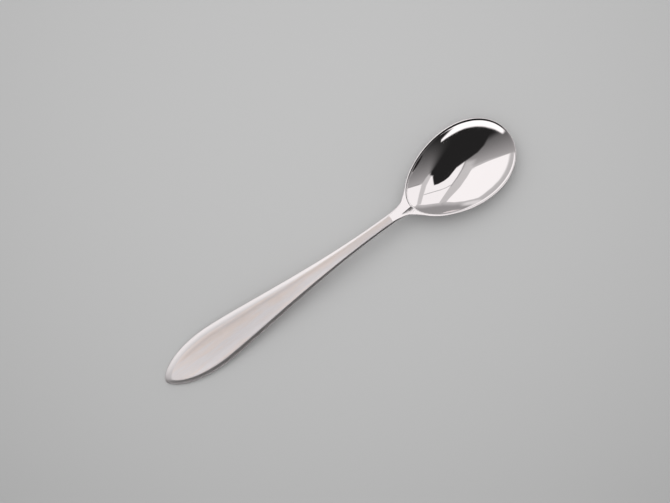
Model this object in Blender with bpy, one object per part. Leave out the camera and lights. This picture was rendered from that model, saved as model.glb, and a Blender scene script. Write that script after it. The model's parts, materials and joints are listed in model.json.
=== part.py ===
"""Egg spoon, pressed from one blank of stainless steel.

The spoon lies on its bowl and on the end of its handle. +X runs from the handle's end to the bowl's
tip, +Z is up, and the origin is on the table, under the middle of the length. Sizes are in millimetres
and the finished mesh is in metres. Places along the spoon are measured from the handle's end.
"""

import math

import bmesh
import bpy
import numpy as np

for leftover in list(bpy.data.objects):
    bpy.data.objects.remove(leftover, do_unlink=True)

# Plan view: the handle, the shank and the neck.
SPOON_LENGTH = 125.0
HANDLE_WIDTH = 12.2
HANDLE_WIDEST_AT = 18.0
SHANK_WIDTH = 3.0
NECK_LENGTH = 9.0
NECK_FLARE = 1.15

# Plan view: the bowl, which is an egg with its blunt end at the tip.
BOWL_LENGTH = 36.6
BOWL_WIDTH = 24.4
BOWL_EGG = 0.15
SHOULDER_FILLET = 5.0
RIM_LAND = 0.4

# The short pointed groove by which the hollow of the bowl runs out into the neck.
RUNOUT_LENGTH = 3.0
RUNOUT_WIDTH = 1.6
RUNOUT_DEPTH = 0.09

# Side view: heights of the upper face.
BOWL_DEPTH = 5.4
CREST_BACK = 19.0
CREST_LIFT = 2.9
HEEL_LIFT = 1.7
HEEL_FALL = 0.10
TIP_LIFT = 0.2
REST_FLAT = 0.2

# Thickness of the metal at the outer edge, and how much more there is along the middle of the back.
HANDLE_EDGE = 1.35
SHANK_EDGE = 1.9
RIM_EDGE = 0.9
HANDLE_CROWN = 0.35
SHANK_CROWN = 0.6
BOWL_WALL = 1.1

# The dish pressed into the handle's face, and the rounding along every edge.
DISH_DEPTH = 0.12
DISH_START = 3.5
HANDLE_SHOULDER = 1.7
SHANK_SHOULDER = 0.75
RIM_SHOULDER = 0.35
BACK_ROUND = 0.6

# Shape of the curves, as plain numbers with no unit. A share is that part of the metal's thickness
# which lies below the widest line of the edge.
END_FULLNESS = 2.3
END_POINT = 1.6
TAPER_START = 1.35
TAPER_END = 2.0
FLARE_POWER = 3.0
BOWL_FULLNESS = -0.10
LIP_SOFTNESS = 0.06
HEEL_LIP = 0.012
HEEL_SOFTNESS = 0.45
BACK_SHARE = 0.6
SHANK_SHARE = 0.85
SHOULDER_POWER = 1.6
ROUND_POWER = 2.0

# Mesh: cross-sections along the spoon, half of them on the bowl, and points round each of them.
SECTIONS = 84
POINTS_ROUND = 40

MM = 0.001
SLOPE_STEP = 0.01
TINY = 0.000001
STEEL_COLOUR = (0.78, 0.76, 0.75, 1.0)
STEEL_ROUGHNESS = 0.22

# Places along the spoon that follow from the sizes above.
BOWL_MIDDLE = SPOON_LENGTH - BOWL_LENGTH / 2
HEEL_AT = SPOON_LENGTH - BOWL_LENGTH
SHANK_AT = HEEL_AT - NECK_LENGTH
CREST_AT = HEEL_AT - CREST_BACK

# Heights that follow: the flats that the spoon rests on are ground to z = 0.
FLOOR_BELOW = -REST_FLAT
FLOOR_ABOVE = FLOOR_BELOW + BOWL_WALL
RIM_HEIGHT = FLOOR_ABOVE + BOWL_DEPTH
END_HEIGHT = HANDLE_EDGE + HANDLE_CROWN - REST_FLAT


def ramp(x, start, stop):
    """0 before start, 1 after stop, and a smooth S between them."""
    t = np.clip((x - start) / (stop - start), 0.0, 1.0)
    return t * t * (3.0 - 2.0 * t)


def rounded_max(a, b, size):
    """The larger of a and b, with the corner where they cross filled by a fillet of that size."""
    near = np.clip(1.0 - np.abs(a - b) / size, 0.0, 1.0)
    return np.maximum(a, b) + near * near * size / 4.0


def along_spoon(x, on_handle, on_shank, on_bowl):
    """A size that changes from the handle to the shank, and from the shank to the bowl."""
    to_shank = ramp(x, HANDLE_WIDEST_AT, SHANK_AT)
    to_bowl = ramp(x, SHANK_AT, BOWL_MIDDLE)
    return (on_handle * (1.0 - to_shank) + on_shank * to_shank) * (1.0 - to_bowl) + on_bowl * to_bowl


def handle_half_width(x):
    """A leaf with a blunt point, which tapers to the shank and then flares at the neck."""
    widest = HANDLE_WIDTH / 2
    narrowest = SHANK_WIDTH / 2
    t = np.clip(x / HANDLE_WIDEST_AT, 0.0, 1.0)
    leaf_end = widest * (1.0 - (1.0 - t) ** END_FULLNESS) ** (1.0 / END_POINT)
    s = np.clip((x - HANDLE_WIDEST_AT) / (SHANK_AT - HANDLE_WIDEST_AT), 0.0, 1.0)
    taper = narrowest + (widest - narrowest) * (1.0 - s**TAPER_START) ** TAPER_END
    flare = NECK_FLARE * np.clip((x - SHANK_AT) / NECK_LENGTH, 0.0, 1.0) ** FLARE_POWER
    return np.where(x < HANDLE_WIDEST_AT, leaf_end, taper) + flare


def egg_waist(along):
    """How wide the egg is against an ellipse, where along runs from -1 at the heel to 1 at the tip."""
    peak = (math.sqrt(1.0 + 8.0 * BOWL_EGG**2) - 1.0) / (4.0 * BOWL_EGG)
    largest = math.sqrt(1.0 - peak**2) * (1.0 + BOWL_EGG * peak)
    return (1.0 + BOWL_EGG * along) / largest


def width_squared(x):
    """Square of half the spoon's width: the handle and the bowl, joined by a fillet at each shoulder."""
    x = np.clip(x, 0.0, SPOON_LENGTH)
    along = (x - BOWL_MIDDLE) / (BOWL_LENGTH / 2)
    bowl = (1.0 - along**2) * (BOWL_WIDTH / 2 * egg_waist(along)) ** 2
    joined = rounded_max(handle_half_width(x) ** 2, bowl, SHOULDER_FILLET**2)
    return np.maximum(np.where(x > BOWL_MIDDLE, bowl, joined), 0.0)


def half_width(x):
    """Half the spoon's width."""
    return np.sqrt(width_squared(x))


def edge_distance(x, y):
    """How far a point lies inside the outline, measured square to the outline."""
    slope = (width_squared(x + SLOPE_STEP) - width_squared(x - SLOPE_STEP)) / (2.0 * SLOPE_STEP)
    steepest = np.sqrt(slope**2 + 4.0 * y**2) + TINY
    return np.maximum(width_squared(x) - y**2, 0.0) / steepest


def cubic(x, start, stop):
    """A curve between two (place, height, slope) points."""
    span = stop[0] - start[0]
    t = np.clip((x - start[0]) / span, 0.0, 1.0)
    first = (1.0 + 2.0 * t) * (1.0 - t) ** 2 * start[1] + t * (1.0 - t) ** 2 * span * start[2]
    last = t**2 * (3.0 - 2.0 * t) * stop[1] - t**2 * (1.0 - t) * span * stop[2]
    return first + last


def face_height(x):
    """Side view: the arched handle, the fall of the neck, and the rim from heel to tip."""
    end = (0.0, END_HEIGHT, 0.0)
    crest = (CREST_AT, RIM_HEIGHT + CREST_LIFT, 0.0)
    heel = (HEEL_AT, RIM_HEIGHT + HEEL_LIFT, -HEEL_FALL)
    tip = (SPOON_LENGTH, RIM_HEIGHT + TIP_LIFT, 0.0)
    handle = np.where(x < CREST_AT, cubic(x, end, crest), cubic(x, crest, heel))
    return np.where(x < HEEL_AT, handle, cubic(x, heel, tip))


def hollow_share(x, y, inset, softness):
    """1 at the bowl's deepest point and 0 from its rim outwards, with a soft lip at the rim."""
    along = (x - BOWL_MIDDLE) / (BOWL_LENGTH / 2 - inset)
    across = y / ((BOWL_WIDTH / 2 - inset) * egg_waist(np.clip(along, -1.0, 1.0)))
    spread = along**2 + across**2
    depth = (1.0 - spread) * (1.0 + BOWL_FULLNESS * np.minimum(spread, 1.0))
    return rounded_max(depth, 0.0, softness)


def shoulder_width(x):
    """How far the rounding of the upper edge reaches inwards."""
    return along_spoon(x, HANDLE_SHOULDER, SHANK_SHOULDER, RIM_SHOULDER)


def dish(x, y):
    """The shallow trough in the handle's face, inside its shoulders, which dies out at the shank."""
    reach = half_width(x) - shoulder_width(x)
    across = np.clip(np.abs(y) / np.maximum(reach, TINY), 0.0, 1.0)
    depth = ramp(x, DISH_START, HANDLE_WIDEST_AT) * (1.0 - ramp(x, HANDLE_WIDEST_AT, SHANK_AT))
    return DISH_DEPTH * depth * (1.0 - across**2)


def run_out(x, y):
    """The groove at the heel, which gets wider and deeper from its point in the neck to the bowl.

    It stops in the hollow, where it is no longer felt, and so leaves the rim whole at the tip.
    """
    t = np.clip((x - HEEL_AT) / RUNOUT_LENGTH + 1.0, TINY, 1.0)
    across = np.clip(np.abs(y) / (RUNOUT_WIDTH / 2 * t), 0.0, 1.0)
    return np.where(x < BOWL_MIDDLE, RUNOUT_DEPTH * t**2 * (1.0 - across**2), 0.0)


def upper_face(x, y):
    """The side view, less the dish, the hollow of the bowl and the groove."""
    rim = face_height(x)
    lip = along_spoon(x, HEEL_LIP, HEEL_LIP, LIP_SOFTNESS)
    hollow = (rim - FLOOR_ABOVE) * hollow_share(x, y, RIM_LAND, lip)
    return rim - dish(x, y) - rounded_max(hollow, run_out(x, y), RUNOUT_DEPTH)


def lower_face(x, y):
    """The crowned back of the handle, and the underside of the bowl."""
    edge = face_height(x) - along_spoon(x, HANDLE_EDGE, SHANK_EDGE, RIM_EDGE)
    crown = along_spoon(x, HANDLE_CROWN, SHANK_CROWN, 0.0)
    back = edge - crown * (1.0 - (y / np.maximum(half_width(x), TINY)) ** 2)
    softness = along_spoon(x, HEEL_SOFTNESS, HEEL_SOFTNESS, LIP_SOFTNESS)
    return back - (back - FLOOR_BELOW) * hollow_share(x, y, 0.0, softness)


def quarter_round(distance, radius, power):
    """0 at the edge and 1 from one radius inwards: a quarter of an ellipse, or flatter for a lower power."""
    t = 1.0 - np.clip(distance / radius, 0.0, 1.0)
    return (1.0 - t**power) ** (1.0 / power)


def surface_height(x, y, on_top):
    """Height of the upper or the lower face, drawn together at the edge of the blank."""
    upper = upper_face(x, y)
    lower = lower_face(x, y)
    middle = lower + along_spoon(x, BACK_SHARE, SHANK_SHARE, BACK_SHARE) * (upper - lower)
    inside = edge_distance(x, y)
    power = along_spoon(x, SHOULDER_POWER, SHOULDER_POWER, ROUND_POWER)
    top = middle + (upper - middle) * quarter_round(inside, shoulder_width(x), power)
    bottom = middle - (middle - lower) * quarter_round(inside, BACK_ROUND, ROUND_POWER)
    return np.maximum(np.where(on_top, top, bottom), 0.0)


def eased(length, share):
    """A place from 0 to length, with places closest together at both ends."""
    return length * (1.0 - np.cos(np.clip(share, 0.0, 1.0) * math.pi)) / 2.0


def stretched(ball):
    """Points of a ball, moved to the spoon's surface: the ball's axis becomes the length."""
    share = 1.0 - np.arccos(np.clip(ball[:, 2], -1.0, 1.0)) / math.pi
    turn = np.arctan2(ball[:, 1], ball[:, 0])
    x = eased(HEEL_AT, 2.0 * share) + eased(BOWL_LENGTH, 2.0 * share - 1.0)
    y = half_width(x) * np.cos(turn)
    z = surface_height(x, y, turn > 0.0)
    return np.column_stack([x - SPOON_LENGTH / 2, y, z]) * MM


def steel():
    """Plain stainless steel."""
    material = bpy.data.materials.new("stainless_steel")
    material.use_nodes = True
    shader = material.node_tree.nodes["Principled BSDF"]
    shader.inputs["Base Color"].default_value = STEEL_COLOUR
    shader.inputs["Metallic"].default_value = 1.0
    shader.inputs["Roughness"].default_value = STEEL_ROUGHNESS
    return material


def build_spoon():
    """A ball of rings, stretched until each ring is one cross-section of the spoon."""
    clay = bmesh.new()
    bmesh.ops.create_uvsphere(clay, u_segments=POINTS_ROUND, v_segments=SECTIONS, radius=1.0)
    ball = np.array([point.co for point in clay.verts])
    for point, place in zip(clay.verts, stretched(ball)):
        point.co = place
    mesh = bpy.data.meshes.new("spoon")
    clay.to_mesh(mesh)
    clay.free()
    mesh.shade_smooth()
    mesh.materials.append(steel())
    bpy.context.scene.collection.objects.link(bpy.data.objects.new("spoon", mesh))


build_spoon()
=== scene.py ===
# %% [markdown]
# # An egg spoon in satin and mirror-polished steel
# The spoon is one piece of stainless steel, pressed from a flat blank. Its handle has a soft satin finish
# and its neck and bowl are polished like a mirror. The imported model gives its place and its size, and
# this lesson makes the fine surface, the two finishes, and the light that a mirror needs around it.

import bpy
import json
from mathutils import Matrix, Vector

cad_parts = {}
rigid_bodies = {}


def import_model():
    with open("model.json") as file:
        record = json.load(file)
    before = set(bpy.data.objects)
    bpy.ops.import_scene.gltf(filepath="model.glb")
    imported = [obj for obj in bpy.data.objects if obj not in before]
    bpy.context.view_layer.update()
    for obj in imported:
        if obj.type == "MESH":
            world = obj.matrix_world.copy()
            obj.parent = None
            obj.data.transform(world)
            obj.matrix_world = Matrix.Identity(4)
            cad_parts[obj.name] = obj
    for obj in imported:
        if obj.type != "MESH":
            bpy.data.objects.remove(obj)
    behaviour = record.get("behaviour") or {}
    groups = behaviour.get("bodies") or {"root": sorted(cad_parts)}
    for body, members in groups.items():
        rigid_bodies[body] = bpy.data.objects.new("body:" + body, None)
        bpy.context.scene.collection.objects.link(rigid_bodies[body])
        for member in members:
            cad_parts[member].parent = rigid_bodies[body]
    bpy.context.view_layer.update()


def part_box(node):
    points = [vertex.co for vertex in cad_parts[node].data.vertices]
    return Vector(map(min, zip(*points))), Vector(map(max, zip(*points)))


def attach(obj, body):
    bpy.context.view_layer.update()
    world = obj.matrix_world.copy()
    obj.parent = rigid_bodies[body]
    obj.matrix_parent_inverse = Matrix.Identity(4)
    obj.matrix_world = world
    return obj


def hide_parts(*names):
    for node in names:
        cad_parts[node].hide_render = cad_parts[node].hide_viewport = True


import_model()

# %% [markdown]
# ## The camera
# The spoon is seen from straight above, turned so that it runs from the lower left to the upper right of
# the picture. A long lens from about 45 cm keeps the bowl, which is nearer to the camera, from looking
# too large. The camera comes first, because every later choice of finish and light is seen through it.

# %% Place the camera
import math

import bpy
from mathutils import Vector

IMAGE_WIDTH = 670
LENS_IN_PIXELS = 1500.0
SENSOR = 36.0
CAMERA_AT = Vector((0.00073, 0.00184, 0.4459))
SPOON_TURN = math.radians(35.89)

scene = bpy.context.scene
camera_data = bpy.data.cameras.new("camera")
camera_data.sensor_width = SENSOR
camera_data.lens = LENS_IN_PIXELS / IMAGE_WIDTH * SENSOR
camera = bpy.data.objects.new("camera", camera_data)
camera.location = CAMERA_AT
camera.rotation_euler = (0.0, 0.0, -SPOON_TURN)
scene.collection.objects.link(camera)
scene.camera = camera
scene.view_settings.view_transform = "Standard"
print("lens:", round(camera_data.lens, 1), "mm")

# %% [markdown]
# ## Wires for node trees
# The spoon's shape, its steel and the light are all node trees, and all three are mostly arithmetic.
# Wiring Math nodes by hand hides the formula, so a small class holds one socket and lets Python's own
# operators add the nodes: `mask * 2` becomes a Multiply node. The forms that start with r serve when a
# plain number stands on the left, as in `1 - mask`.

# %% One socket, with arithmetic
class Wire:
    """One output socket. Arithmetic on wires adds Math nodes to their tree."""

    def __init__(self, bench, socket):
        self.bench = bench
        self.socket = socket

    def out(self, name):
        """Another output of the same node."""
        return Wire(self.bench, self.socket.node.outputs[name])

    def math(self, operation, *values):
        return self.bench.node("ShaderNodeMath", {"operation": operation}, values)

    def __add__(self, other):
        return self.math("ADD", self, other)

    def __radd__(self, other):
        return self.math("ADD", other, self)

    def __sub__(self, other):
        return self.math("SUBTRACT", self, other)

    def __rsub__(self, other):
        return self.math("SUBTRACT", other, self)

    def __mul__(self, other):
        return self.math("MULTIPLY", self, other)

    def __rmul__(self, other):
        return self.math("MULTIPLY", other, self)

    def __truediv__(self, other):
        return self.math("DIVIDE", self, other)

    def __rtruediv__(self, other):
        return self.math("DIVIDE", other, self)

    def __pow__(self, power):
        return self.math("POWER", self, power)

    def __gt__(self, other):
        return self.math("GREATER_THAN", self, other)

    def __lt__(self, other):
        return self.math("LESS_THAN", self, other)

    def __abs__(self):
        return self.math("ABSOLUTE", self)

    def root(self):
        return self.math("SQRT", self)

    def cosine(self):
        return self.math("COSINE", self)

    def at_least(self, other):
        return self.math("MAXIMUM", self, other)

    def at_most(self, other):
        return self.math("MINIMUM", self, other)

    def held(self, low=0.0, high=1.0):
        """The value, kept between two limits."""
        return self.at_least(low).at_most(high)


print("wires ready")

# %% [markdown]
# ## A bench that adds nodes
# Every other node comes from one method. It sets the node's options first, because some of them change
# which sockets there are, and then links or fills the sockets. Three functions cover what comes up most:
# a choice between two values, a smooth step, and the larger of two values with a fillet where they cross.

# %% The bench and three helpers
class Bench:
    """A node tree, and the one method that adds a node to it."""

    def __init__(self, tree):
        self.tree = tree

    def node(self, kind, settings=None, sockets=(), out=0):
        made = self.tree.nodes.new(kind)
        for name, value in (settings or {}).items():
            setattr(made, name, value)
        pairs = sockets.items() if isinstance(sockets, dict) else enumerate(sockets)
        for key, value in pairs:
            if isinstance(value, Wire):
                self.tree.links.new(value.socket, made.inputs[key])
            else:
                made.inputs[key].default_value = value
        return Wire(self, made.outputs[out]) if made.outputs else made


def pick(choice, yes, no):
    """yes where choice is 1, no where it is 0, and a blend between."""
    return choice.bench.node("ShaderNodeMix", {}, {0: choice, 2: no, 3: yes})


def ramp(x, start, stop):
    """0 before start, 1 after stop, and a smooth S between them."""
    return x.bench.node("ShaderNodeMapRange", {"interpolation_type": "SMOOTHSTEP"}, [x, start, stop])


def rounded_max(a, b, size):
    """The larger of a and b, with the corner where they cross filled by a fillet of that size."""
    near = (1.0 - abs(a - b) / size).held()
    return a.at_least(b) + near * near * size / 4.0


print("bench ready")

# %% [markdown]
# ## The blank: a tube to stretch
# A spoon has no flat side to start from, so a box or a subdivided cage would fight its shape. Instead a
# plain cylinder is stretched over it by Geometry Nodes. Each ring of the cylinder becomes one
# cross-section of the spoon, and its upper and lower halves become the upper and lower faces. Every size
# is a named input of the tree, lengths in millimetres, so the spoon can be re-cut from the modifier. The
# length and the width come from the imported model.

# %% Start the tree and take the first sizes
MM = 0.001

blank = bpy.data.node_groups.new("spoon_blank", "GeometryNodeTree")
bench = Bench(blank)
entrance = bench.node("NodeGroupInput")
cut_to = {}


def size(name, value):
    """A named input of the tree and the value that it is cut to."""
    blank.interface.new_socket(name, in_out="INPUT", socket_type="NodeSocketFloat")
    cut_to[name] = value
    return entrance.out(name)


lowest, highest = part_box("spoon")
spoon_length = size("Spoon length", (highest.x - lowest.x) / MM)
bowl_length = size("Bowl length", 36.6)
bowl_width = size("Bowl width", (highest.y - lowest.y) / MM)
heel_at = spoon_length - bowl_length
bowl_middle = spoon_length - bowl_length / 2.0
print("spoon:", round(cut_to["Spoon length"], 1), "mm long,", round(cut_to["Bowl width"], 1), "mm wide")

# %% [markdown]
# ## Rings along the spoon
# The rings lie closest together at the handle's end, at the heel and at the tip, where the surface turns
# fastest. Half a wave of the cosine spaces them that way. A fan of triangles closes each end of the tube.
# The centre of the fan goes right to the end, and the last ring stops just short of it.

# %% Lay out the rings
RINGS = 420
POINTS_ROUND = 144
SHORT_OF_END = (RINGS - 1) / (RINGS + 1)

tube = bench.node(
    "GeometryNodeMeshCylinder",
    {"fill_type": "TRIANGLE_FAN"},
    {"Vertices": POINTS_ROUND, "Side Segments": RINGS - 1, "Radius": 1.0, "Depth": 2.0},
)
on_tube = bench.node("ShaderNodeSeparateXYZ", {}, [bench.node("GeometryNodeInputPosition")])
across_share = on_tube.out("X")
upper_side = on_tube.out("Y") > 0.0
on_ring = across_share * across_share + on_tube.out("Y") * on_tube.out("Y")
ring_share = 0.5 + on_tube.out("Z") / 2.0 * pick(on_ring, SHORT_OF_END, 1.0)


def eased(length, share):
    """A place from 0 to length, with places closest together at both ends."""
    return length * (1.0 - (share.held() * math.pi).cosine()) / 2.0


x = eased(heel_at, ring_share * 2.0) + eased(bowl_length, ring_share * 2.0 - 1.0)
print("tube of", RINGS, "rings of", POINTS_ROUND, "points")

# %% [markdown]
# ## The outline of the bowl
# Seen from above, the bowl is an egg with its blunt end at the tip. It is an ellipse whose width is made
# to grow steadily from heel to tip, and which is then scaled so that its widest place has the bowl's
# width.

# %% How wide an egg is
egg = size("Bowl egg", 0.15)

egg_peak = ((1.0 + 8.0 * egg * egg).root() - 1.0) / (4.0 * egg)
egg_largest = (1.0 - egg_peak * egg_peak).root() * (1.0 + egg * egg_peak)


def egg_waist(along):
    """How wide the egg is against an ellipse, where along runs from -1 at the heel to 1 at the tip."""
    return (1.0 + egg * along) / egg_largest


print("egg:", len(blank.nodes), "nodes so far")

# %% [markdown]
# ## The outline of the handle
# The handle is a leaf with a blunt point, widest near its end. It tapers to a slim shank and flares again
# at the neck. Each stretch is a power curve, so that one exponent sets how full the end is or how soon
# the taper starts.

# %% Half the width of the handle
widest = size("Handle width", 12.2) / 2.0
widest_at = size("Handle widest at", 18.0)
narrowest = size("Shank width", 3.0) / 2.0
neck_length = size("Neck length", 9.0)
neck_flare = size("Neck flare", 1.15)
end_fullness = size("End fullness", 2.3)
end_point = size("End point", 1.6)
taper_start = size("Taper start", 1.35)
taper_end = size("Taper end", 2.0)
flare_power = size("Flare power", 3.0)
shank_at = heel_at - neck_length


def handle_half_width(x):
    leaf_end = widest * (1.0 - (1.0 - (x / widest_at).held()) ** end_fullness) ** (1.0 / end_point)
    s = ((x - widest_at) / (shank_at - widest_at)).held()
    taper = narrowest + (widest - narrowest) * (1.0 - s**taper_start) ** taper_end
    flare = neck_flare * ((x - shank_at) / neck_length).held() ** flare_power
    return pick(x < widest_at, leaf_end, taper) + flare


print("handle: up to", cut_to["Handle width"], "mm wide")

# %% [markdown]
# ## Handle and bowl in one outline
# The two are joined by a fillet at each shoulder of the bowl. Working with the square of the half width
# keeps both round ends exact, because an ellipse is smooth in squares.

# %% Half the width at any place
shoulder_fillet = size("Shoulder fillet", 5.0)


def width_squared(x):
    along = ((x - bowl_middle) / (bowl_length / 2.0)).at_most(1.0)
    waist = bowl_width / 2.0 * egg_waist(along)
    bowl = (1.0 - along * along) * waist * waist
    handle = handle_half_width(x)
    joined = rounded_max(handle * handle, bowl, shoulder_fillet * shoulder_fillet)
    return pick(x > bowl_middle, bowl, joined)


half_squared = width_squared(x).at_least(0.0)
half_width = half_squared.root()
y = half_width * across_share
print("outline:", len(blank.nodes), "nodes so far")

# %% [markdown]
# ## Heights along the spoon
# Laid on a table, the spoon touches it at the handle's end and under the bowl. The handle rises in a long
# arch, the neck falls to the heel of the bowl, and the rim runs on to the tip almost level. A picture
# from above shows none of these heights, so they are those usual for such spoons.

# %% The heights
bowl_depth = size("Bowl depth", 5.4)
bowl_wall = size("Bowl wall", 1.1)
rest_flat = size("Rest flat", 0.2)
crest_back = size("Crest back", 19.0)
crest_lift = size("Crest lift", 2.9)
heel_lift = size("Heel lift", 1.7)
heel_fall = size("Heel fall", 0.10)
tip_lift = size("Tip lift", 0.2)
handle_edge = size("Handle edge", 1.35)
handle_crown = size("Handle crown", 0.35)

floor_below = 0.0 - rest_flat
floor_above = bowl_wall - rest_flat
rim_height = floor_above + bowl_depth
crest_at = heel_at - crest_back
end_height = handle_edge + handle_crown - rest_flat
print("bowl:", cut_to["Bowl depth"], "mm deep")

# %% [markdown]
# ## The side view
# Three cubic curves draw the line of the upper face, from the handle's end to the crest, on to the heel,
# and on to the tip. They share their slopes where they meet, because polished metal would show the least
# kink.

# %% Height of the upper face along the middle
def cubic(x, start, stop):
    """A curve between two (place, height, slope) points."""
    span = stop[0] - start[0]
    t = ((x - start[0]) / span).held()
    u = 1.0 - t
    first = (1.0 + 2.0 * t) * u * u * start[1] + t * u * u * span * start[2]
    last = t * t * (3.0 - 2.0 * t) * stop[1] - t * t * u * span * stop[2]
    return first + last


end = (0.0, end_height, 0.0)
crest = (crest_at, rim_height + crest_lift, 0.0)
heel = (heel_at, rim_height + heel_lift, 0.0 - heel_fall)
tip = (spoon_length, rim_height + tip_lift, 0.0)
arch = pick(x < crest_at, cubic(x, end, crest), cubic(x, crest, heel))
face = pick(x < heel_at, arch, cubic(x, heel, tip))
print("side view:", len(blank.nodes), "nodes so far")

# %% [markdown]
# ## The hollow of the bowl
# The punch that presses the bowl is egg-shaped too, a little smaller than the outline. It leaves a narrow
# land round the rim, which is widest along the sides and almost gone at the tip. The lip where hollow and
# land meet is soft, because polishing rounds it, and it is crisp only at the heel.

# %% Press the hollow
rim_land = size("Rim land", 0.56)
tip_land = size("Tip land", 0.15)
bowl_fullness = size("Bowl fullness", -0.10)
lip_softness = size("Lip softness", 0.045)
heel_lip = size("Heel lip", 0.012)

to_shank = ramp(x, widest_at, shank_at)
to_bowl = ramp(x, shank_at, bowl_middle)


def along_spoon(on_handle, on_shank, on_bowl):
    """A size that changes from the handle to the shank, and from the shank to the bowl."""
    return pick(to_bowl, on_bowl, pick(to_shank, on_shank, on_handle))


def hollow_share(inset, tip_inset, softness):
    """1 at the bowl's deepest point and 0 from its rim outwards, with a soft lip at the rim."""
    along = (x - bowl_middle) / (bowl_length / 2.0 - pick(x > bowl_middle, tip_inset, inset))
    across = y / ((bowl_width / 2.0 - inset) * egg_waist(along.held(-1.0, 1.0)))
    spread = along * along + across * across
    depth = (1.0 - spread) * (1.0 + bowl_fullness * spread.at_most(1.0))
    return rounded_max(depth, 0.0, softness)


lip = along_spoon(heel_lip, heel_lip, lip_softness)
hollow = (face - floor_above) * hollow_share(rim_land, tip_land, lip)
print("hollow:", len(blank.nodes), "nodes so far")

# %% [markdown]
# ## The dish of the handle
# The handle's face is a shallow trough with a nearly flat bottom, which dies out towards the shank. A
# rounded shoulder runs along each side of it, and the far one is ground wider than the near one. Along
# the neck the rounding narrows to the sharp edge of the rim.

# %% Dish the handle between its shoulders
LEAN_BLEND = 1.0
LEAST_REACH = 0.1
dish_depth = size("Dish depth", 0.12)
dish_start = size("Dish start", 4.0)
dish_full = size("Dish full", 12.0)
dish_flatness = size("Dish flatness", 4.0)
handle_shoulder = size("Handle shoulder", 1.6)
shoulder_lean = size("Shoulder lean", 0.9)
shank_shoulder = size("Shank shoulder", 0.75)
rim_shoulder = size("Rim shoulder", 0.11)

far_side = ramp(y, -LEAN_BLEND, LEAN_BLEND)
satin_shoulder = pick(to_shank, shank_shoulder, handle_shoulder + shoulder_lean * far_side)
shoulder = pick(ramp(x, shank_at, heel_at), rim_shoulder, satin_shoulder)
dish_across = (abs(y) / (half_width - shoulder).at_least(LEAST_REACH)).held()
dish_along = ramp(x, dish_start, dish_full) * (1.0 - to_shank)
dish = dish_depth * dish_along * (1.0 - dish_across**dish_flatness)
print("dish:", cut_to["Dish depth"], "mm deep")

# %% [markdown]
# ## The groove at the heel
# Where the hollow runs out into the neck, the punch leaves a short pointed groove, a little to the near
# side. It gets wider and deeper from its point to the bowl, and a fillet joins it to the hollow. It is
# cut off in the middle of the bowl, far below the rim, so that the rim stays whole at the tip.

# %% Run the hollow out into the neck
RUNOUT_POINT = 0.01
runout_length = size("Runout length", 4.0)
runout_width = size("Runout width", 1.8)
runout_aside = size("Runout aside", 0.75)
runout_depth = size("Runout depth", 0.13)

runout_share = ((x - heel_at) / runout_length + 1.0).held(RUNOUT_POINT, 1.0)
runout_y = y + runout_aside * (1.0 + runout_share)
runout_across = (abs(runout_y) / (runout_width / 2.0 * runout_share)).held()
runout_profile = (1.0 - runout_across * runout_across) * (x < bowl_middle)
runout = runout_depth * runout_share * runout_share * runout_profile
upper = face - dish - rounded_max(hollow, runout, runout_depth)
print("groove:", cut_to["Runout length"], "mm long")

# %% [markdown]
# ## The back
# The underside follows the face at the thickness of the metal. It is crowned along the handle and the
# shank, and it swells under the bowl by the same egg as the hollow, so that the wall is even.

# %% Shape the back
LEAST_HALF = 0.01
shank_edge = size("Shank edge", 1.9)
rim_edge = size("Rim edge", 0.9)
shank_crown = size("Shank crown", 0.6)
heel_softness = size("Heel softness", 0.45)

across_half = y / half_width.at_least(LEAST_HALF)
crown = along_spoon(handle_crown, shank_crown, 0.0)
edge_thickness = along_spoon(handle_edge, shank_edge, rim_edge)
back = face - edge_thickness - crown * (1.0 - across_half * across_half)
back_softness = along_spoon(heel_softness, heel_softness, lip_softness)
lower = back - (back - floor_below) * hollow_share(0.0, 0.0, back_softness)
print("faces:", len(blank.nodes), "nodes so far")

# %% [markdown]
# ## Rounding the edges
# The blank is cut with square edges, and every edge is then ground round, wide on the handle's shoulders
# and narrow on the rim. Both faces are drawn together over a quarter of an ellipse as they near the
# outline. The distance to the outline is measured square to it, so that the rounding is even where the
# outline curves. The two spots that touch the table are worn flat at z = 0.

# %% Draw the faces together at the edge
SLOPE_STEP = 0.02
TINY = 0.000001
back_share = size("Back share", 0.6)
shank_share = size("Shank share", 0.85)
back_round = size("Back round", 0.6)
shoulder_power = size("Shoulder power", 1.6)
round_power = size("Round power", 2.0)

slope = (width_squared(x + SLOPE_STEP) - width_squared(x - SLOPE_STEP)) / (2.0 * SLOPE_STEP)
steepest = (slope * slope + 4.0 * y * y).root() + TINY
from_edge = (half_squared - y * y).at_least(0.0) / steepest


def quarter_round(distance, radius, power):
    """0 at the edge and 1 from one radius inwards: a quarter of an ellipse, or flatter for a lower power."""
    t = 1.0 - (distance / radius).held()
    return (1.0 - t**power) ** (1.0 / power)


middle = lower + along_spoon(back_share, shank_share, back_share) * (upper - lower)
top_power = along_spoon(shoulder_power, shoulder_power, round_power)
top = middle + (upper - middle) * quarter_round(from_edge, shoulder, top_power)
bottom = middle - (middle - lower) * quarter_round(from_edge, back_round, round_power)
z = pick(upper_side, top, bottom).at_least(0.0)
print("edges:", len(blank.nodes), "nodes so far")

# %% [markdown]
# ## Two marks for the polisher
# The rounded shoulders are smoother than the face of the handle, and the groove and the lip at the heel,
# where a buffing wheel hardly reaches, stay duller than the bowl. The mesh carries both as a number from
# 0 to 1 at each point, and the steel reads them.

# %% Mark the shoulders and the groove
SHOULDER_FADE = 0.75
LIP_BEGINS = (0.0, 0.02)
LIP_ENDS = (0.2, 0.5)
HEEL_ENDS = (2.0, 7.0)
GROOVE_FADE = 0.04

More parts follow.
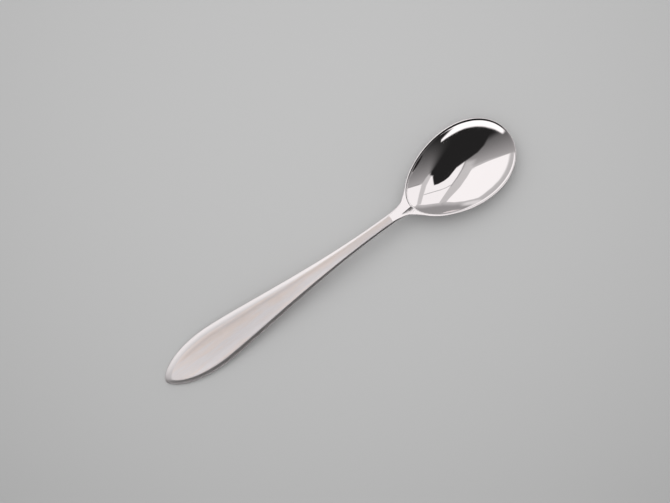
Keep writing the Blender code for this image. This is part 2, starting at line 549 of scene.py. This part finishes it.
on_shoulder = 1.0 - ramp(from_edge / shoulder, SHOULDER_FADE, 1.0)
on_lip = ramp(hollow, *LIP_BEGINS) * (1.0 - ramp(hollow, *LIP_ENDS))
at_heel = 1.0 - ramp(x, heel_at + HEEL_ENDS[0], heel_at + HEEL_ENDS[1])
in_groove = ramp(runout - hollow, 0.0, GROOVE_FADE).at_least(on_lip * at_heel)
print("marks:", len(blank.nodes), "nodes so far")

# %% [markdown]
# ## Steel in two finishes
# One steel, two finishes. The handle is satin: rubbed lengthwise with a fine pad, so it has thousands of
# faint parallel lines and reflects only broad light and dark. The neck and bowl are buffed to a mirror,
# and the buffing stops at a sharp line across the neck. A mask along the spoon picks the finish.

# %% Start the steel and find its places
FINISH_LINE = 0.0195
FINISH_BLEND = 0.0002

steel = bpy.data.materials.new("stainless_steel")
steel.use_nodes = True
steel_bench = Bench(steel.node_tree)
steel_shader = steel.node_tree.nodes["Principled BSDF"]

place = steel_bench.node("ShaderNodeTexCoord", out="Object")
along_handle = steel_bench.node("ShaderNodeSeparateXYZ", {}, [place])
across_handle = along_handle.out("Y")
mirror = ramp(along_handle, FINISH_LINE, FINISH_LINE + FINISH_BLEND)
edge = steel_bench.node("ShaderNodeAttribute", {"attribute_name": "shoulder"}, out="Fac")
groove = steel_bench.node("ShaderNodeAttribute", {"attribute_name": "groove"}, out="Fac")
print("the satin stops", round(FINISH_LINE / MM, 1), "mm past the middle")

# %% [markdown]
# ## What rubbing and wiping leave
# The pad leaves fine lines and broader streaks, which are two noises stretched along the handle. Wiping
# leaves faint clouds that run no way in particular, and buffing leaves a ripple that shows only in what
# the bowl reflects. A noise swings about one half, so its swing is taken from there.

# %% Four noises
def noise(stretch, detail):
    """A noise of the given number of waves per metre along, across and up."""
    stretched = steel_bench.node("ShaderNodeMapping", {}, {"Vector": place, "Scale": stretch})
    return steel_bench.node("ShaderNodeTexNoise", {}, {"Vector": stretched, "Scale": 1.0, "Detail": detail})


lines = noise((60.0, 3600.0, 3600.0), 3.0)
streaks = noise((45.0, 600.0, 600.0), 3.0)
wipe = noise((180.0, 180.0, 180.0), 4.0)
ripple = noise((260.0, 260.0, 260.0), 1.0)
line_swing = lines - 0.5
streak_swing = streaks - 0.5
wipe_swing = wipe - 0.5
print("noises:", len(steel.node_tree.nodes), "nodes so far")

# %% [markdown]
# ## The colour of the satin
# Rubbed steel is slightly warm, and it is cooler in some of the streaks. Towards the near side it is also
# cooler, which is painted shade: that side faces the dark part of the room. The lines and streaks make it
# lighter and darker, and a painted shade darkens it a little towards the shank, whose curved face would
# reflect more of the darker room.

# %% Satin colour
SATIN_WARM = (0.92, 0.815, 0.775, 1.0)
SATIN_COOL = (0.865, 0.82, 0.83, 1.0)
SIDE_BLEND = 0.003
# painted shade: how much cooler the near side of the satin is tinted, for the dark part of the room it faces
NEAR_SIDE_PAINTED_SHADE = 0.22
TINT_RANGE = (0.30, 0.70)
LINE_CONTRAST = 0.10
STREAK_CONTRAST = 0.12
# painted shade: how much the satin colour darkens towards the shank
PAINTED_SHANK_SHADE = 0.15
PAINTED_SHADE_BETWEEN = (-0.010, 0.012)


def blend(share, one, other):
    """A colour between two."""
    return steel_bench.node("ShaderNodeMix", {"data_type": "RGBA"}, {0: share, 6: one, 7: other}, out=2)


def scaled(colour, share):
    """A colour made lighter or darker."""
    return share.bench.node("ShaderNodeVectorMath", {"operation": "SCALE"}, {0: colour, "Scale": share})


near_side = ramp(across_handle, SIDE_BLEND, -SIDE_BLEND)
# the streaks vary the tint for real; the near side is tinted cooler as painted shade from the dark part of
# the room
streak_tint_and_painted_side_shade = ramp(streaks + NEAR_SIDE_PAINTED_SHADE * (near_side - 0.5), *TINT_RANGE)
# painted shade: the colour darkens towards the shank, standing in for the darker room that the curved shank
# reflects
painted_shank_shade = 1.0 - PAINTED_SHANK_SHADE * ramp(along_handle, *PAINTED_SHADE_BETWEEN)
shine = painted_shank_shade * (1.0 + LINE_CONTRAST * line_swing + STREAK_CONTRAST * streak_swing)
satin_colour = scaled(blend(streak_tint_and_painted_side_shade, SATIN_WARM, SATIN_COOL), shine)
print("satin colour:", len(steel.node_tree.nodes), "nodes so far")

# %% [markdown]
# ## Rough and smooth
# Roughness decides how sharp a reflection is. The satin face is rough, and its two shoulders are
# smoother. The mirror is nearly smooth, but its edges along the neck, the groove and the lip at the heel
# are duller. Wiping changes all of them by a little.

# %% Roughness of both finishes
SATIN_ROUGHNESS = 0.50
LINE_ROUGHNESS = 0.12
FAR_ROUGHNESS = 0.36
NEAR_ROUGHNESS = 0.31
SATIN_WIPE = 0.05
MIRROR_ROUGHNESS = 0.035
DULL_ROUGHNESS = 0.28
MIRROR_WIPE = 0.02
RIM_START = 0.026
RIM_BLEND = 0.002

face_roughness = SATIN_ROUGHNESS + line_swing * LINE_ROUGHNESS
shoulder_roughness = pick(near_side, NEAR_ROUGHNESS, FAR_ROUGHNESS)
satin_roughness = pick(edge, shoulder_roughness, face_roughness) + wipe_swing * SATIN_WIPE
neck_edge = edge * (1.0 - ramp(along_handle, RIM_START - RIM_BLEND, RIM_START + RIM_BLEND))
dull = pick(neck_edge.at_least(groove), DULL_ROUGHNESS, MIRROR_ROUGHNESS)
mirror_roughness = dull + wipe_swing * MIRROR_WIPE
print("roughness from", MIRROR_ROUGHNESS, "to", SATIN_ROUGHNESS)

# %% [markdown]
# ## The two finishes on one steel
# The mask now picks a colour, a roughness and a relief. Lines a thousandth of a millimetre deep are far
# too fine for a mesh, so the relief goes through a Bump node. A rubbed surface also scatters some light
# like a matt one, which a metal in Blender never does, so the satin is a little less than wholly
# metallic.

# %% Join the finishes
MIRROR_COLOUR = (0.83, 0.785, 0.788, 1.0)
SATIN_SCATTER = 0.25
GRAIN_DEPTH = 0.0000012
RIPPLE_DEPTH = 0.000006

relief = pick(mirror, ripple * RIPPLE_DEPTH, lines * (1.0 - edge) * GRAIN_DEPTH)
finish = {
    "Base Color": blend((mirror + edge).at_most(1.0), satin_colour, MIRROR_COLOUR),
    "Metallic": 1.0 - SATIN_SCATTER * (1.0 - mirror) * (1.0 - edge),
    "Roughness": pick(mirror, mirror_roughness, satin_roughness),
    "Normal": steel_bench.node("ShaderNodeBump", {}, {"Strength": 1.0, "Distance": 1.0, "Height": relief}),
}
for name, wire in finish.items():
    steel.node_tree.links.new(wire.socket, steel_shader.inputs[name])
print("steel:", len(steel.node_tree.nodes), "nodes")

# %% [markdown]
# ## From tube to spoon
# The tree ends by storing the two marks, moving the tube's points to the spoon's surface, shading it
# smooth and giving it its steel. The marks are stored before the points move, because they are worked out
# from where the points lie on the tube.

# %% Stretch the tube over the spoon
spot = bench.node("ShaderNodeCombineXYZ", {}, [(x - spoon_length / 2.0) * MM, y * MM, z * MM])
shape = tube
for name, mark in {"shoulder": on_shoulder, "groove": in_groove}.items():
    stored = {"Geometry": shape, "Name": name, "Value": mark}
    shape = bench.node("GeometryNodeStoreNamedAttribute", {}, stored)
shape = bench.node("GeometryNodeSetPosition", {}, {"Geometry": shape, "Position": spot})
shape = bench.node("GeometryNodeSetShadeSmooth", {}, {"Geometry": shape, "Shade Smooth": True})
shape = bench.node("GeometryNodeRealizeInstances", {}, {"Geometry": shape})
shape = bench.node("GeometryNodeSetMaterial", {}, {"Geometry": shape, "Material": steel})
blank.interface.new_socket("Geometry", in_out="OUTPUT", socket_type="NodeSocketGeometry")
bench.node("NodeGroupOutput", {}, [shape])
print("tree:", len(blank.nodes), "nodes")

# %% [markdown]
# ## From tree to mesh
# Each size is set on the modifier by the identifier of its input, before anything is worked out. A
# Geometry Nodes modifier only lives in Blender, so the result is read off as a plain mesh and the
# modifier goes.

# %% Press the spoon and read off the mesh
spoon = bpy.data.objects.new("spoon_fine", bpy.data.meshes.new("blank"))
scene.collection.objects.link(spoon)
press = spoon.modifiers.new("press", "NODES")
press.node_group = blank
for item in blank.interface.items_tree:
    if item.name in cut_to:
        press[item.identifier] = cut_to[item.name]

bpy.context.view_layer.update()
pressed = spoon.evaluated_get(bpy.context.evaluated_depsgraph_get())
fine_mesh = bpy.data.meshes.new_from_object(pressed)
spoon.modifiers.remove(press)
spoon.data = fine_mesh
fine_mesh.name = "spoon_fine"
print("spoon:", len(fine_mesh.vertices), "points,", len(fine_mesh.polygons), "faces")

# %% [markdown]
# ## The table
# The spoon lies on a plain pale sheet, where its soft shadow shows how it lies. One square face is
# enough.

# %% The floor
FLOOR_SIDE = 4.0

half = FLOOR_SIDE / 2.0
corners = [(-half, -half, 0.0), (half, -half, 0.0), (half, half, 0.0), (-half, half, 0.0)]
floor_mesh = bpy.data.meshes.new("floor")
floor_mesh.from_pydata(corners, [], [(0, 1, 2, 3)])
floor = bpy.data.objects.new("floor", floor_mesh)
scene.collection.objects.link(floor)
print("floor:", FLOOR_SIDE, "m wide")

# %% [markdown]
# ## The tone of the table
# In the picture the sheet is brightest a little behind the heel of the bowl and falls off slowly from
# there, as under a lamp. The light of this lesson comes from a dome without a distance, which can't fall
# off, so the fall is painted into the sheet, by the square of the distance and only up to a limit.

# %% Pale paper
FLOOR_TONE = (0.54, 0.54, 0.54)
PAPER_ROUGHNESS = 0.9
BRIGHTEST_AT = (0.034, 0.048, 0.0)
FALL_REACH = 0.165
FALL_OFF = 0.24
FALL_LIMIT = 1.25


def how_far(place, centre):
    """The distance between a place and a fixed centre."""
    return place.bench.node("ShaderNodeVectorMath", {"operation": "DISTANCE"}, [place, centre], out="Value")


paper = bpy.data.materials.new("pale_paper")
paper.use_nodes = True
paper_shader = paper.node_tree.nodes["Principled BSDF"]
paper_shader.inputs["Roughness"].default_value = PAPER_ROUGHNESS
on_paper = Bench(paper.node_tree).node("ShaderNodeTexCoord", out="Object")
away = how_far(on_paper, BRIGHTEST_AT) / FALL_REACH
paper_tone = scaled(FLOOR_TONE, 1.0 - FALL_OFF * (away**2.0).at_most(FALL_LIMIT))
paper.node_tree.links.new(paper_tone.socket, paper_shader.inputs["Base Color"])
floor_mesh.materials.append(paper)
print("paper:", len(paper.node_tree.nodes), "nodes")

# %% [markdown]
# ## The light: a dome and its chart
# A mirror shows what stands around it, so the studio is drawn on a dome round the spoon. A flat chart of
# the dome makes that easy: the zenith is in its middle, the horizon is a circle of radius 1, and right
# and up are those of the picture. Circles on the dome stay circles on such a chart.

# %% Flatten the dome to a chart
LOWEST_LOOK = -0.5

studio = bpy.data.worlds.new("studio")
studio.use_nodes = True
scene.world = studio
dome = Bench(studio.node_tree)
background = studio.node_tree.nodes["Background"]

image_right = Vector((math.cos(SPOON_TURN), -math.sin(SPOON_TURN), 0.0))
image_up = Vector((math.sin(SPOON_TURN), math.cos(SPOON_TURN), 0.0))
towards = dome.node("ShaderNodeTexCoord", out="Generated")


def share_along(direction, axis):
    """How much of a direction lies along an axis."""
    return dome.node("ShaderNodeVectorMath", {"operation": "DOT_PRODUCT"}, [direction, axis], out="Value")


flatten = 1.0 + share_along(towards, Vector((0.0, 0.0, 1.0))).at_least(LOWEST_LOOK)
chart_x = share_along(towards, image_right) / flatten
chart_y = share_along(towards, image_up) / flatten
chart = dome.node("ShaderNodeCombineXYZ", {}, [chart_x, chart_y, 1.0])
print("chart:", len(studio.node_tree.nodes), "nodes")

# %% [markdown]
# ## Drawing on the chart
# A panel is known by how far a place lies inside it. For straight edges that is the least of the
# distances to the left of each edge, and for a round panel it is the radius less the distance to the
# centre. A ramp over that depth fills the panel with a soft edge, and one tone is laid over another like
# paint.

# %% Panels and tones
PANEL_SOFT = 0.02


def left_of(start, stop):
    """How far a place on the chart lies to the left of the line from start to stop."""
    run = Vector((stop[0] - start[0], stop[1] - start[1])).normalized()
    return share_along(chart, Vector((-run.y, run.x, run.y * start[0] - run.x * start[1])))


def inside(corners):
    """How far a place lies inside a panel whose corners run anticlockwise round the chart."""
    depth = left_of(corners[-1], corners[0])
    for start, stop in zip(corners, corners[1:]):
        depth = depth.at_most(left_of(start, stop))
    return depth


def within(centre, radius):
    """How far a place lies inside a round panel."""
    return radius - how_far(chart, (centre[0], centre[1], 1.0))


def filled(depth, soft=PANEL_SOFT):
    """1 inside a panel, 0 outside it, and soft between."""
    return ramp(depth, -soft / 2.0, soft / 2.0)


def panel(corners, soft=PANEL_SOFT):
    return filled(inside(corners), soft)


def lay(under, cover, mask):
    """One tone laid over another where the mask is 1."""
    return pick(mask, cover, under)


print("panels have an edge", PANEL_SOFT, "wide")

# %% [markdown]
# ## The room
# In front, on the near side, the room is a grey that darkens towards the floor, faster on the left than
# on the right. It is what the far wall of the bowl shows.

# %% The near half of the room
ROOM_TONE = 0.43
ROOM_REACH = 0.64
ROOM_LEAST = 0.05
FADE_LEFT = 1.6
FADE_RIGHT = 1.12
FADE_BETWEEN = (-0.15, 0.40)

fade = pick(ramp(chart_x, *FADE_BETWEEN), FADE_RIGHT, FADE_LEFT)
tone = ROOM_TONE * (1.0 + chart_y.at_most(0.0) / ROOM_REACH).at_least(ROOM_LEAST) ** fade
print("room:", len(studio.node_tree.nodes), "nodes")

# %% [markdown]
# ## White sheets behind the spoon
# Two large white sheets hang behind, left and right of the middle, and a third stands further out. They
# give the broad white of the bowl. The wall behind them is grey, and lighter close to them. The left
# sheet bulges at its left edge, so an arc cuts it there.

# %% The sheets
LEFT_WHITE = 1.12
RIGHT_WHITE = LEFT_WHITE * 0.96
LEFT_SOFT = 0.015
LEFT_ARC = ((0.528, 0.212), 1.028)
WALL_NEAR = 0.58
WALL_FAR = 0.34
WALL_FADE = (-0.11, -0.01)
WALL_START = (0.0, 0.03)
left_sheet = [
    (-0.55, 0.005), (-0.33, 0.047), (-0.175, 0.09), (0.02, 0.755),
    (-0.09, 0.805), (-0.20, 0.82), (-0.29, 0.80), (-0.60, 0.62),
]
right_sheet = [
    (-0.03, -0.14), (0.57, -0.14), (0.64, 0.05), (0.60, 0.55),
    (0.38, 0.66), (0.24, 0.70), (0.13, 0.73), (-0.03, 0.05),
]
outer_sheet = [(0.60, 0.053), (1.2, 0.01), (1.2, 0.60), (0.56, 0.60)]

left_depth = inside(left_sheet).at_most(within(*LEFT_ARC))
right_depth = inside(right_sheet)
wall = pick(ramp(left_depth.at_least(right_depth), *WALL_FADE), WALL_NEAR, WALL_FAR)
tone = lay(tone, wall, ramp(chart_y, *WALL_START))
print("sheets:", len(studio.node_tree.nodes), "nodes")

# %% [markdown]
# ## A strip low on the wall
# A short pale strip stands close to the horizon, between two circles of the chart. Walls as steep as
# those of the bowl near its rim reflect that low, and the strip puts a light streak into the near one.
# The sheets are laid over it.

# %% The strip and the sheets over it
STRIP_TONE = 0.82
STRIP_AT = -0.28
STRIP_ENDS = (0.14, 0.04)
STRIP_TOP = 0.88
STRIP_FOOT = 0.945
TOP_SOFT = 0.03
FOOT_SOFT = 0.05
CHART_MIDDLE = (0.0, 0.0)

above_strip = filled(within(CHART_MIDDLE, STRIP_TOP), TOP_SOFT)
above_foot = filled(within(CHART_MIDDLE, STRIP_FOOT), FOOT_SOFT)
strip = above_foot * (1.0 - above_strip) * ramp(abs(chart_x - STRIP_AT), *STRIP_ENDS)
tone = lay(tone, STRIP_TONE, strip)
tone = lay(tone, LEFT_WHITE, filled(left_depth, LEFT_SOFT))
tone = lay(tone, RIGHT_WHITE, filled(right_depth).at_least(panel(outer_sheet)))
print("strip:", len(studio.node_tree.nodes), "nodes")

# %% [markdown]
# ## Seams between the sheets
# Where sheets meet, the bowl shows grey bars: one broad bar between left and right, a soft patch at the
# zenith, and two more towards the tip.

# %% Broad seams
ZENITH_TONE = 0.616
MIDDLE_TONE = 0.644
SIDE_TONE = 0.665
ZENITH_SOFT = 0.09
MIDDLE_SOFT = 0.015
zenith = [(-0.15, -0.06), (-0.03, -0.10), (-0.03, 0.10), (-0.18, 0.09)]
middle_seam = [
    (-0.035, 0.03), (0.13, 0.73), (0.13, 0.76), (0.02, 0.73), (-0.06, 0.57),
    (-0.11, 0.45), (-0.155, 0.26), (-0.175, 0.09), (-0.16, 0.03),
]
upper_seam = [(0.54, 0.10), (0.65, 0.10), (0.61, 0.29), (0.56, 0.58), (0.47, 0.60), (0.51, 0.31)]
lower_seam = [(0.52, -0.09), (0.59, -0.13), (0.63, -0.05), (0.65, 0.06), (0.645, 0.12), (0.54, 0.12)]

tone = lay(tone, ZENITH_TONE, panel(zenith, ZENITH_SOFT))
tone = lay(tone, MIDDLE_TONE, panel(middle_seam, MIDDLE_SOFT))
tone = lay(tone, SIDE_TONE, panel(upper_seam).at_least(panel(lower_seam)))
print("seams:", len(studio.node_tree.nodes), "nodes")

# %% [markdown]
# ## Thin lines
# Two fine dark lines run through the white, one across the sheet and one along the edge of the broad bar.
# Each is a chain of three narrow panels, so that it can bend.

# %% Two lines of three panels
THIN_TONE = 0.42
THIN_SOFT = 0.01
across_line = [
    [(0.04, 0.320), (0.11, 0.353), (0.11, 0.370), (0.04, 0.338)],
    [(0.10, 0.352), (0.20, 0.368), (0.20, 0.384), (0.10, 0.367)],
    [(0.19, 0.366), (0.50, 0.345), (0.50, 0.362), (0.19, 0.383)],
]
along_line = [
    [(-0.035, -0.13), (-0.014, -0.13), (-0.020, 0.05), (-0.043, 0.05)],
    [(-0.042, 0.04), (-0.020, 0.04), (0.0, 0.21), (-0.02, 0.21)],
    [(-0.02, 0.20), (0.0, 0.20), (0.043, 0.36), (0.026, 0.37)],
]
for piece in across_line + along_line:
    tone = lay(tone, THIN_TONE, panel(piece, THIN_SOFT))
print("lines:", len(studio.node_tree.nodes), "nodes")

# %% [markdown]
# ## A dark body
# The black shape in the bowl is whatever stands over the spoon in front of the sheets. It has a body, an
# arm that reaches up into the white, and a foot that spreads towards the floor. Its right end is blurred,
# and the more so the lower it is.

# %% The dark body
DARK = 0.019
BODY_SOFT = 0.04
DARK_FOOT_SOFT = 0.12
DARK_END = 0.575
END_SOFT = 0.04
END_SPREAD = 0.5
SPREAD_BELOW = -0.16
dark_body = [
    (-0.19, -0.41), (0.05, -0.56), (0.90, -0.70), (0.62, -0.14),
    (0.49, -0.05), (0.07, -0.05), (-0.14, -0.185), (-0.18, -0.26),
]
dark_arm = [
    (0.05, -0.12), (0.49, -0.12), (0.48, -0.03), (0.37, 0.19), (0.29, 0.195), (0.20, 0.165), (0.14, 0.11),
]
dark_foot = [(-0.42, -0.46), (0.0, -0.90), (0.95, -0.90), (0.95, -0.48), (-0.15, -0.33), (-0.34, -0.365)]

blur = END_SOFT + END_SPREAD * (SPREAD_BELOW - chart_y).at_least(0.0)
past_end = ramp((chart_x - DARK_END) / blur, -1.0, 1.0)
dark = panel(dark_body, BODY_SOFT).at_least(panel(dark_foot, DARK_FOOT_SOFT)) * (1.0 - past_end)
tone = lay(tone, DARK, dark.at_least(panel(dark_arm)))
print("dark body:", len(studio.node_tree.nodes), "nodes")

# %% [markdown]
# ## A white card in front
# A low curved card stands on the near side. It is the bright crescent under the far rim of the bowl. On
# the chart it lies between two arcs and is cut off by a line at each end.

# %% The card
CARD = 1.30
OUTER_ARC = ((0.278, 0.090), 0.733)
INNER_ARC = ((0.348, 0.3625), 0.947)
INNER_SOFT = 0.012
RIGHT_END = ((0.595, -0.60), (0.575, -0.50))
LEFT_END = ((-0.290, -0.275), (-0.325, -0.315))
LEFT_END_SOFT = 0.05

card_outside = filled(within(*OUTER_ARC).at_most(left_of(*RIGHT_END)))
card_inside = filled(within(*INNER_ARC), INNER_SOFT)
card_left = filled(left_of(*LEFT_END), LEFT_END_SOFT)
card = card_outside * card_left * (1.0 - card_inside)
tone = lay(tone, CARD, card)
print("card:", len(studio.node_tree.nodes), "nodes")

# %% [markdown]
# ## Light for the table
# The table needs softer light than these hard-edged panels give. Rays that aren't reflections therefore
# see another dome: a broad lamp near the zenith, which casts the spoon's soft shadow, and an even fill
# that is a little stronger from behind. The camera itself sees a plain backdrop.

# %% A lamp and a fill
KEY_AT = (-0.08, 0.14)
KEY_SIZE = 0.44
KEY_POWER = 2.9
ROOM_FILL = 0.46
FILL_LEAN = 0.25
BACKDROP = 0.55

fill = ROOM_FILL * (1.0 + FILL_LEAN * chart_y.held(-1.0, 1.0))
key = KEY_POWER * filled(within(KEY_AT, KEY_SIZE / 2.0), KEY_SIZE)
camera_ray = dome.node("ShaderNodeLightPath", out="Is Camera Ray")
tone = pick(camera_ray.out("Is Glossy Ray"), tone, fill + key)
tone = lay(tone, BACKDROP, camera_ray)
studio.node_tree.links.new(tone.socket, background.inputs["Color"])
print("dome:", len(studio.node_tree.nodes), "nodes")

# %% [markdown]
# ## The finished piece in place
# The fine spoon rides on the imported body and stands for the imported solid, which is hidden.

# %% Join the spoon to the frame
import json

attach(spoon, "root")
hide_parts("spoon")
